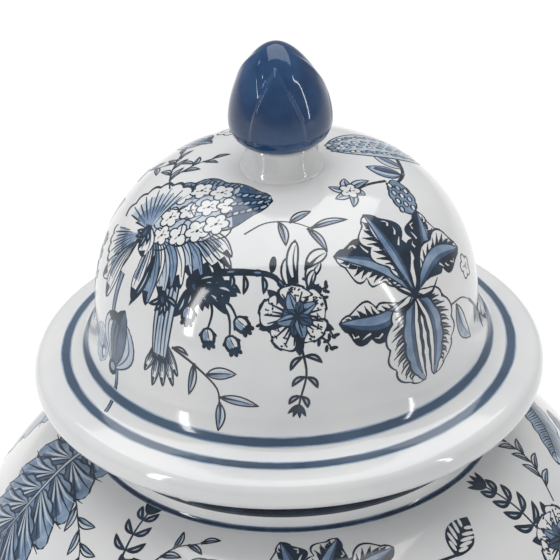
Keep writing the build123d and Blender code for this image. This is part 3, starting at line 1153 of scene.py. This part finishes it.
def cut_shapes(ground, spacing=2.4):
    """Cuts all outlines into one net of triangles and gives each the tone painted last on it."""
    points, edges = [], []
    for tone, outline in ground.shapes:
        first = len(points)
        points += [(p.real, p.imag) for p in outline]
        edges += [(first + k, first + (k + 1) % len(outline)) for k in range(len(outline))]
    low, top = ground.way[0], ground.way[-1]
    for row in np.arange(low, top, spacing * 0.87):
        shift = spacing / 2 * (int((row - low) / (spacing * 0.87)) % 2)
        start, end = ground.seam - 2 * pi, ground.seam
        across = np.arange(start * ground.flat_radius + shift, end * ground.flat_radius, spacing)
        points += [(x, row) for x in across]
    net = delaunay_2d_cdt([Vector(p) for p in points], edges, [], 0, 1e-4, False)
    flat = np.array([complex(*p) for p in net[0]])
    corners = np.array([f for f in net[2] if len(f) == 3])
    middle = flat[corners].mean(1)
    order = np.argsort(middle.real)
    corners, middle = corners[order], middle[order]
    tone_of = np.full(len(corners), -1)
    tones = sorted({tone for tone, _ in ground.shapes})
    for tone, outline in ground.shapes:
        first = np.searchsorted(middle.real, outline.real.min())
        last = np.searchsorted(middle.real, outline.real.max())
        high = middle.imag[first:last]
        near = first + np.nonzero((high > outline.imag.min()) & (high < outline.imag.max()))[0]
        if len(near):
            tone_of[near[inside(middle[near], outline)]] = tones.index(tone)
    return flat, corners, [(tone, tone_of == k) for k, tone in enumerate(tones) if tone != "paper"]


def split_corners(corners):
    """New vertex numbers for triangle corners, so that triangles share a vertex only where they
    also share an edge at it. Returns the numbers and, per edge, whether it is on the border."""
    count = len(corners)
    start, end = corners.ravel(), np.roll(corners, -1, 1).ravel()
    big = int(corners.max()) + 1
    key, mate_key = start.astype(np.int64) * big + end, end.astype(np.int64) * big + start
    order = np.argsort(key)
    found = np.clip(np.searchsorted(key[order], mate_key), 0, 3 * count - 1)
    mate = order[found]
    paired = key[mate] == mate_key
    here = np.arange(3 * count)
    after = here - here % 3 + (here + 1) % 3
    mate_after = mate - mate % 3 + (mate + 1) % 3
    a = np.concatenate([here[paired], after[paired]])
    b = np.concatenate([mate_after[paired], mate[paired]])
    label = here.copy()
    while True:
        low = np.minimum(label[a], label[b])
        new = label.copy()
        np.minimum.at(new, a, low)
        np.minimum.at(new, b, low)
        if (new == label).all():
            break
        label = new
    return label.reshape(-1, 3), ~paired.reshape(-1, 3)


def paint_piece(ground, name, flat, corners, body, material, proud=0.05, sunk=0.1):
    """One thin closed skin of paint in one tone, following the glaze under it."""
    label, border = split_corners(corners)
    kept, vertex = np.unique(label, return_inverse=True)
    vertex = vertex.reshape(-1, 3)
    place = flat[corners.ravel()[kept]]
    top, normal = ground.on_surface(place, proud)
    bottom = ground.on_surface(place, -sunk)[0]
    count = len(kept)
    row, col = np.nonzero(border)
    a, b = vertex[row, col], vertex[row, (col + 1) % 3]
    faces = vertex.tolist() + (vertex[:, ::-1] + count).tolist()
    faces += np.stack([b, a, a + count, b + count], 1).tolist()
    mesh = bpy.data.meshes.new(name)
    mesh.from_pydata(np.concatenate([top, bottom]).tolist(), [], faces)
    mesh.polygons.foreach_set("use_smooth", [True] * len(mesh.polygons))
    mesh.normals_split_custom_set_from_vertices(np.concatenate([normal, normal]).tolist())
    sheet = mesh.uv_layers.new(name="OFBake")
    spot = np.concatenate([place, place])
    turn = (spot.real / ground.flat_radius - ground.seam) / (2 * pi) + 1
    uv = np.stack([turn, (spot.imag - ground.way[0]) / np.ptp(ground.way)], 1)
    loops = np.empty(len(mesh.loops), np.int32)
    mesh.loops.foreach_get("vertex_index", loops)
    sheet.uv.foreach_set("vector", uv[loops].astype(np.float32).ravel())
    finish_piece(mesh, name, body, [], [material])


PAINTS = {"ink": INK_AND_SHADE, "deep": DEEP, "band": BAND, "mid": MID, "pale": PALE}


def paint(ground, prefix, body):
    flat, corners, tones = cut_shapes(ground)
    for tone, chosen in tones:
        paint_piece(ground, f"{prefix}_{tone}", flat, corners[chosen], body, PAINTS[tone])


# ------------------------------------------------------------------ painting: the lid
SOFT_BAND = (("pale", 3.0), ("mid", 2.5), ("band", 2.0))


def wild_iris(ground):
    """An iris seen from its side, hung between a fan of petals, a pod and falling sepals."""
    rng = ground.rng
    ground.along(twin_stem, [(-66, 45), (-65, 32), (-62, 20), (-57, 7)], 1.5)
    ground.grow(rolled_petal, (-72, 15.5), (-70, 27), 9.5)
    ground.grow(bud, (-64, 17.5), (-58.5, 37), 13.0, fill="deep")
    ground.put(fan(16.0, 196, 262), -69, 56)
    for end, width, bend in (((-79, 38), 6.5, 0.1), ((-72, 35), 6.0, -0.05)):
        ground.grow(striped_leaf, (-67, 55), end, width, bend=bend)
    ground.along(tassel, [(-44, 55), (-42, 45), (-41.5, 33), (-42, 22)], 6.6)
    for k in range(11):
        end = (-25 - 3.2 * k + rng.uniform(-1.5, 1.5), 54 - 1.4 * k + 2.5 * (k % 2) + rng.uniform(-1.5, 1.5))
        width, fill = rng.uniform(4.0, 6.2), ("pale", "paper", "mid")[k % 3]
        ground.grow(striped_leaf, (-63, 59), end, width, bend=0.2 - 0.01 * k, fill=fill)
        if k % 3 == 1:
            ground.grow(dark_leaf, (-55, 55), (end[0] - 1, end[1] - 1.5), 2.6)
    for start, end, width in (
        ((-56, 61), (-23, 56), 5.0), ((-54, 62), (-21, 58), 4.2), ((-46, 63.5), (-22, 61), 4.0),
    ):
        ground.grow(striped_leaf, start, end, width, bend=0.16)
    ground.put(dark_tuft(9, 9, rng), -34, 52, -40)
    ground.put(dark_tuft(7, 7, rng), -25, 54, -75)
    ground.put(dark_tuft(6, 6, rng), -44, 46, -80)
    ground.along(branch, [(-27, 56), (-15, 57.5), (-4, 56.5), (1, 50)], (2.2, 1.7, 0.9))
    for start, end, width in (
        ((-30, 51), (-20, 46), 3.4), ((-27, 52), (-17, 51), 3.6), ((-36, 50), (-38, 42), 3.0),
    ):
        ground.grow(dark_leaf, start, end, width)
    for stem, end in (
        ((-33, 53), (-33, 45.5)), ((-28, 51), (-25.5, 41)),
        ((-24, 50), (-18, 40)), ((-24, 50), (-16, 45)),
    ):
        ground.grow(berry, stem, end, 4.3, bend=0.15)
    for at, end in (((-16, 57), (-15, 51.5)), ((-9, 57), (-8, 52)), ((-21, 57), (-20, 52))):
        ground.grow(dark_leaf, at, end, 1.7)
    ground.grow(pod, (-69, 59.5), (-8, 80.5), 24.5, rng=rng)
    ground.put(fan(16.5, 94, 190), -66, 58.5)
    ground.grow(striped_leaf, (-70, 59), (-60, 52), 6.0, bend=0.1)
    ground.put(dark_tuft(6, 6, rng), -67, 58, -100)
    ground.along(sprig, [(-82, 68.5), (-96, 69), (-118, 68.5)], 5, 6.0)
    ground.along(sprig, [(-92, 70), (-100, 76), (-106, 80)], 3, 5.5)


def starry_flower(ground):
    """A ragged dotted flower on the branch's end, with buds above and a leafy tail below."""
    rng = ground.rng
    ground.along(dark_sprig, [(4, 38), (5, 31), (3, 24), (2, 20)], 3, 4.3)
    for start, end in (
        ((9, 50), (14, 53)), ((9, 44), (14, 40)), ((8, 41), (13, 37)),
        ((-4, 42), (-8, 44.5)), ((6, 56), (12, 50)),
    ):
        ground.grow(curl_twig, start, end, rng)
    for at, end, width in (
        ((2, 52), (0.5, 62), 3.0),
        ((4, 52), (5.0, 67), 3.4),
        ((7, 54), (14, 60), 3.6),
        ((7, 58), (18, 62.5), 4.0),
        ((8, 52), (11, 58), 2.6),
    ):
        ground.grow(white_bud, at, end, width)
    ground.put([oval("ink", 0, 4.6, 1.9)], -5, 60, 86)
    ground.along(branch, [(-3, 55), (1, 52), (4, 50)], (0.9, 0.8, 0.6), 0)
    ground.put(rosette(9.2, rng), 3, 46.2, 20)


def great_bloom(ground):
    """The great flower: five dark-edged petals up and aside, two long ones hanging."""
    for end, width, lobes, flip, bend, broad in (
        ((19.5, 60.5), 14.0, (4, 4), False, -0.1, 0.26),
        ((70, 60.5), 14.0, (4, 4), True, 0.08, 0.26),
        ((16, 43), 12.5, (3, 4), True, -0.14, 0.36),
        ((76, 44.5), 12.5, (3, 3), False, 0.16, 0.34),
        ((44, 69), 15.0, (4, 3), False, 0.02, 0.22),
    ):
        ground.grow(plume, (45, 44), end, width, lobes, bend, broad, flip=flip)
    for middle, end, width, flip in ((41.3, 43.8, 9.8, True), (48.3, 47.2, 9.8, False)):
        places = [(44.8, 44), (middle, 36), (middle, 27), (end, 19.5)]
        ground.along(hanging_plume, places, width, flip)
    for end, bend in (
        ((36, 52), 0.1), ((41, 55), 0.05), ((47, 55), 0.0),
        ((52, 53), -0.1), ((33, 43), 0.2), ((57, 44), -0.2),
    ):
        ground.grow(streak, (45, 43), end, 1.0, bend=bend)


def lid_side_right(ground):
    """Right of the great flower: sprigs, a bulb on a branch, blossoms and a seed head."""
    rng = ground.rng
    ground.along(sprig, [(59, 35), (66, 34), (71, 31)], 0, 5, tip=False)
    ground.grow(simple_leaf, (62, 34), (70, 20), 5.2, bend=-0.12)
    ground.along(sprig, [(71, 31), (79, 24), (90, 15)], 4, 6.0, stalk=0.9)
    ground.put(blossom(3.4, 10), 75, 39)
    ground.along(branch, [(130, 63), (110, 66.5), (92, 66.5), (80, 68)], (1.5, 1.2, 0.9))
    ground.grow(scaly_bulb, (82, 69.5), (65, 61), 8.5, rng=rng)
    ground.grow(simple_leaf, (90, 67), (88, 77), 5.6, bend=0.1, fill="mid", shade="deep")
    ground.grow(simple_leaf, (97, 66), (106, 74), 4.6, bend=0.1)
    ground.along(branch, [(78, 71), (66, 75), (52, 76)], (0.9, 0.8, 0.6), 1)
    for end, width in (
        ((38, 77), 3.0), ((43, 72), 2.6), ((57, 73), 3.0),
        ((72, 75), 3.0), ((64, 81), 3.0), ((44, 82), 2.8),
    ):
        ground.grow(simple_leaf, (53, 77), end, width, fill="pale")
    ground.put(blossom(3.0, 30), 53, 77)
    ground.grow(cone, (118, 54), (122, 85), 15.0)


def scroll_vine(ground):
    """The fine twig between the pod and the great flower."""
    ground.along(sprig, [(-20, 68), (-10, 72.3), (4, 72.5), (15, 69.5)], 0, 4, tip=False, stalk=0.45)
    for start, end, width in (
        ((3, 72.3), (18, 75.5), 2.6),
        ((-3, 72.8), (0.5, 65), 2.6),
        ((14, 69.8), (35, 69.5), 2.4),
        ((12, 70), (18, 62), 2.4),
    ):
        ground.grow(simple_leaf, start, end, width, bend=0.06)
    ground.along(sprig, [(-37, 34), (-29, 31), (-22, 26), (-21, 21)], 0, 4, tip=False, stalk=0.8)
    ground.grow(dark_leaf, (-36.5, 34.2), (-31, 33), 1.5)
    for start, end, width in (
        ((-25, 29), (-15.5, 30.5), 3.6),
        ((-29, 31.5), (-31, 21.5), 2.5),
        ((-21, 23), (-9, 21.5), 3.0),
        ((-21, 21.5), (-21, 13.5), 2.9),
    ):
        ground.grow(simple_leaf, start, end, width, bend=0.04)


def front_scene(ground):
    """The scene on the lid's front, which the belly repeats."""
    for part in (scroll_vine, wild_iris, great_bloom, starry_flower):
        part(ground)


def lid_back(ground, az):
    """The far side: a peony spray over an acanthus, with seed heads and trailing leaves."""
    rng = ground.rng
    ground.grow(acanthus, (az - 30, 20), (az - 34, 64), 26, pairs=6)
    ground.along(branch, [(az - 20, 24), (az - 6, 33), (az + 14, 36), (az + 30, 44)], (2.0, 1.5, 1.0))
    for places, leaves in (
        ([(az - 8, 32), (az - 4, 24), (az + 6, 18)], 4),
        ([(az + 20, 38), (az + 30, 32), (az + 42, 20)], 5),
        ([(az + 4, 36), (az - 4, 50), (az - 6, 62)], 5),
        ([(az + 28, 52), (az + 40, 60), (az + 46, 70)], 4),
    ):
        ground.along(sprig, places, leaves, 6.5)
    ground.put(peony(12.5, rng), az + 14, 45)
    ground.put(blossom(4.6, 20), az - 12, 67)
    ground.put(blossom(3.8, 50), az + 2, 72)
    ground.grow(bud, (az + 16, 58), (az + 22, 75), 8)
    ground.grow(feather_leaf, (az + 44, 26), (az + 50, 52), 8)
    ground.grow(simple_leaf, (az + 2, 22), (az + 16, 20), 3.6)
    ground.grow(plume, (az - 40, 68), (az - 58, 52), 9, broad=0.3)
    ground.grow(simple_leaf, (az - 8, 24), (az - 24, 17), 4.0)
    ground.along(dark_sprig, [(az + 60, 20), (az + 63, 32), (az + 60, 44)], 4, 4.6)


lid_ground = Ground(lid_face, zero=0, radius=DOME_R, seam=180, seed=4)
lid_back(lid_ground, -152)
lid_side_right(lid_ground)
front_scene(lid_ground)
for height in (5.2, 12.0):
    lid_ground.ring(height, SOFT_BAND)
paint(lid_ground, "lid_paint", "lid")


# ------------------------------------------------------------------ painting: the jar
def shoulder_front(ground):
    """What hangs and climbs on the shoulder below the flange."""
    rng = ground.rng
    ground.grow(acanthus, (-79, 236), (-77, 194), 34, pairs=6)
    ground.along(sprig, [(-68, 226), (-60, 222), (-52, 214), (-50, 204)], 6, 8.0)
    ground.along(dark_sprig, [(-41.5, 219), (-42, 226), (-42, 234)], 3, 5.0)
    ground.along(sprig, [(-34, 220), (-30, 226), (-24, 229)], 3, 6.0)
    ground.put(rosette(11, rng), -37, 209, 15)
    ground.grow(feather_leaf, (2, 222), (-25, 224), 9, bend=0.14)
    ground.grow(plume, (6, 214), (24, 226), 12, broad=0.3)
    ground.grow(plume, (4, 214), (-4, 232), 12, broad=0.3)
    ground.grow(plume, (4, 214), (11, 232), 12, lobes=(4, 3), broad=0.3)
    ground.put(peony(15, rng), 4, 210)
    ground.along(branch, [(14, 214), (26, 218), (37, 218)], (1.3, 1.0, 0.8), 0)
    ground.grow(acanthus, (-12, 206), (-28, 190), 17, pairs=4)
    ground.grow(feather_leaf, (26, 208), (50, 198), 8)
    ground.grow(pierced_leaf, (37, 217.5), (45.5, 225.5), 8.5)
    ground.along(dark_sprig, [(60, 210), (59, 220), (56, 231)], 4, 6.0)
    ground.put(rosette(10.5, rng), 64, 204, 40)
    ground.along(sprig, [(70, 212), (75, 222), (77, 231)], 6, 7.0)
    ground.grow(feather_leaf, (108, 229), (82, 214), 13)
    ground.grow(feather_leaf, (104, 214), (88, 202), 9)


def shoulder_back(ground, az):
    """The far side of the shoulder."""
    rng = ground.rng
    for place in (-50, 56):
        ground.grow(acanthus, (az + place, 236), (az + place + 2, 194), 32, pairs=6)
    ground.along(sprig, [(az - 36, 229), (az - 32, 222), (az - 26, 212), (az - 24, 200)], 6, 8.0)
    ground.along(dark_sprig, [(az - 10, 212), (az - 11, 222), (az - 9, 233)], 4, 5.5)
    ground.put(rosette(11, rng), az - 8, 203, 15)
    ground.put(peony(16, rng), az + 22, 212)
    ground.grow(pierced_leaf, (az + 6, 218), (az - 2, 228), 8.5)
    ground.along(sprig, [(az + 36, 200), (az + 41, 212), (az + 40, 229)], 6, 8.0)


def belly_scene(ground, az):
    """The lid's own scene again, half as large again, round the belly."""
    panel = Panel(ground, az, height=120, size=1.5)
    front_scene(panel)
    ground.grow(simple_leaf, (az + 44, 86), (az + 54, 74), 9)
    ground.along(sprig, [(az + 30, 74), (az + 40, 66), (az + 52, 62), (az + 62, 68)], 6, 9.0, width=0.4)
    ground.along(sprig, [(az - 26, 66), (az - 12, 60), (az + 2, 64), (az + 12, 74)], 6, 9.0, width=0.4)


def peony_spray(ground, az):
    """A tall spray between two scenes: a peony with buds and leaves about a climbing branch."""
    rng = ground.rng
    ground.along(branch, [(az - 8, 54), (az - 4, 82), (az, 116), (az, 140)], (3.4, 2.6, 1.8, 1.4), 5)
    ground.along(branch, [(az - 4, 88), (az + 6, 98), (az + 12, 110)], (2.0, 1.5, 1.0), 2)
    for places, leaves in (
        ([(az - 3, 96), (az - 10, 108), (az - 14, 126)], 6),
        ([(az - 6, 66), (az + 3, 70), (az + 12, 66)], 5),
        ([(az - 6, 74), (az - 14, 78), (az - 19, 90)], 5),
        ([(az + 1, 150), (az + 9, 164), (az + 7, 180)], 6),
    ):
        ground.along(sprig, places, leaves, 9.5, width=0.4, stalk=0.9)
    ground.grow(plume, (az + 1, 140), (az - 12, 158), 13, broad=0.3)
    ground.grow(plume, (az, 140), (az - 3, 172), 13, flip=True, broad=0.3)
    ground.put(peony(18, rng), az, 138, 90)
    ground.put(rosette(10.5, rng), az + 13, 110, 30)
    ground.grow(bud, (az - 14, 124), (az - 16, 142), 10)
    ground.put(blossom(6.0, 15), az - 18, 93)


jar_ground = Ground(jar_face, zero=len(jar_foot) - 1, radius=BELLY_R, seam=168, seed=9)
shoulder_front(jar_ground)
shoulder_back(jar_ground, 184)
for azimuth in (-22, 158):
    belly_scene(jar_ground, azimuth)
    peony_spray(jar_ground, azimuth + 76)
for k in range(24):
    jar_ground.grow(lappet, (-180 + 15 * k, 6), (-180 + 15 * k, 38), 14.5)
    jar_ground.grow(dark_leaf, (-172.5 + 15 * k, 24), (-172.5 + 15 * k, 39), 3.4)
for height in (-16.0, 1.0, 44.0, 47.5):
    jar_ground.ring(height, SOFT_BAND)
neck_foot = jar_ground.height_at(NECK_BASE_Z)
jar_ground.ring(neck_foot, (("mid", 1.6), ("deep", 1.2), ("ink", 0.7)))
paint(jar_ground, "jar_paint", "jar")

# ------------------------------------------------------------------ floor, light, camera
WORLD_STRENGTH = 0.47
AIM_HEIGHT = 0.25           # where the lights point, in metres above the table
SOFTBOXES = (               # name, centre in metres, width, height, watts
    ("overhead_softbox", (0, 0.4, 2.2), 2.4, 2.4, 40),
    ("left_strip", (-1.5, -0.9, 0.8), 0.17, 1.2, 8),
    ("right_strip", (1.7, -0.7, 0.7), 0.07, 1.2, 3.6),
)
CAMERA_ELEVATION = radians(32.1)
CAMERA_ROLL = radians(2.05)
CAMERA_DISTANCE = 20 * FLANGE_R
CAMERA_LENS = 326.6
AIM_ASIDE, AIM_UP = -2.4, 21.7    # from the flange's middle to the picture's, in millimetres


def floor_material():
    made = Material("studio_floor")
    made.colour(made.noise(2.0), (0.3, srgb("f4f4f4")), (0.7, srgb("f8f8f8")))
    made.set(Roughness=0.9)
    return made.material


def build_floor(size=12.0):
    made = bmesh.new()
    bmesh.ops.create_grid(made, x_segments=4, y_segments=4, size=size / 2)
    mesh = finished_mesh(made, "studio_floor")
    mesh.materials.append(floor_material())
    piece = add_object("studio_floor", mesh)


def softbox(name, centre, aim, width, height, power):
    """A rectangular area light at centre, facing aim. Metres and watts."""
    data = bpy.data.lights.new(name, "AREA")
    data.shape = "RECTANGLE"
    data.size = width
    data.size_y = height
    data.energy = power
    light = add_object(name, data)
    light.location = centre
    light.rotation_euler = (Vector(aim) - Vector(centre)).to_track_quat("-Z", "Y").to_euler()


def build_light():
    """A white world, a large softbox overhead and a narrow strip on either side."""
    world = bpy.data.worlds.new("studio")
    world.use_nodes = True
    world.node_tree.nodes["Background"].inputs["Color"].default_value = (1, 1, 1, 1)
    world.node_tree.nodes["Background"].inputs["Strength"].default_value = WORLD_STRENGTH
    bpy.context.scene.world = world
    for name, centre, width, height, power in SOFTBOXES:
        softbox(name, centre, (0, 0, AIM_HEIGHT), width, height, power)
    bpy.context.scene.view_settings.view_transform = "Standard"


def build_camera():
    """Looks down at the lid from 32 degrees, slightly rolled, with a long lens."""
    elevation, roll = CAMERA_ELEVATION, CAMERA_ROLL
    flange = Vector((0, 0, EDGE_Z))
    place = flange + CAMERA_DISTANCE * Vector((0, -cos(elevation), sin(elevation)))
    forward = (flange - place).normalized()
    level = forward.cross(Vector((0, 0, 1))).normalized()
    upright = level.cross(forward)
    right = level * cos(roll) - upright * sin(roll)
    up = upright * cos(roll) + level * sin(roll)
    aim = flange + right * AIM_ASIDE + up * AIM_UP
    data = bpy.data.cameras.new("camera")
    data.sensor_width = 36
    data.lens = CAMERA_LENS
    data.clip_start = 0.05
    data.clip_end = 50
    camera = add_object("camera", data)
    back = (place - aim).normalized()
    right = up.cross(back).normalized()
    up = back.cross(right)
    camera.matrix_world = Matrix.Translation(place * MM) @ Matrix((right, up, back)).transposed().to_4x4()
    bpy.context.scene.camera = camera


build_floor()
build_light()
build_camera()
